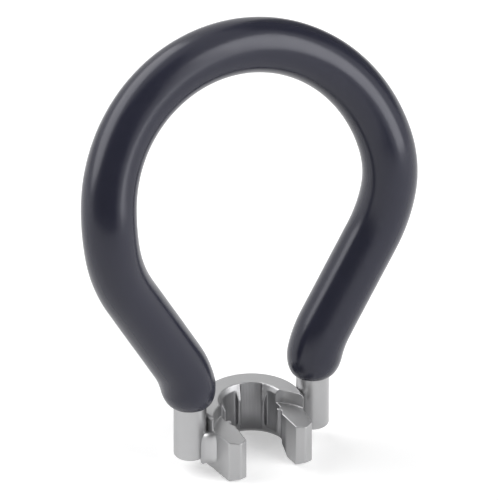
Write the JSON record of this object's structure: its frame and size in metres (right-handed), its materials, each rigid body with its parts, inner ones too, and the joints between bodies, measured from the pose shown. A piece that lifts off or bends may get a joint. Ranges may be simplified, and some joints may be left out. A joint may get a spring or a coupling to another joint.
{
  "type": "spoke wrench",
  "caption": "Hand-held spoke wrench: a vinyl-dipped bent-rod loop handle brazed to a splined C-shaped head whose open mouth passes a spoke.",
  "frame": {"origin": "centre of the socket at the head's lower face, where a spoke nipple enters", "axes": "+Z along the socket up to the top of the loop, -Y out of the head's open mouth, +X across the feet to the right"},
  "size_m": [0.0524, 0.0188, 0.0671],
  "materials": {
    "rod_steel": "plated, satin",
    "grip_vinyl": "dipped vinyl, glossy",
    "head_steel": "plated, satin",
    "braze": "satin"
  },
  "bodies": {
    "root": {"handle_rod": "rod_steel", "vinyl_grip": "grip_vinyl", "wrench_head": "head_steel", "braze_left": "braze", "braze_right": "braze"}
  },
  "joints": []
}
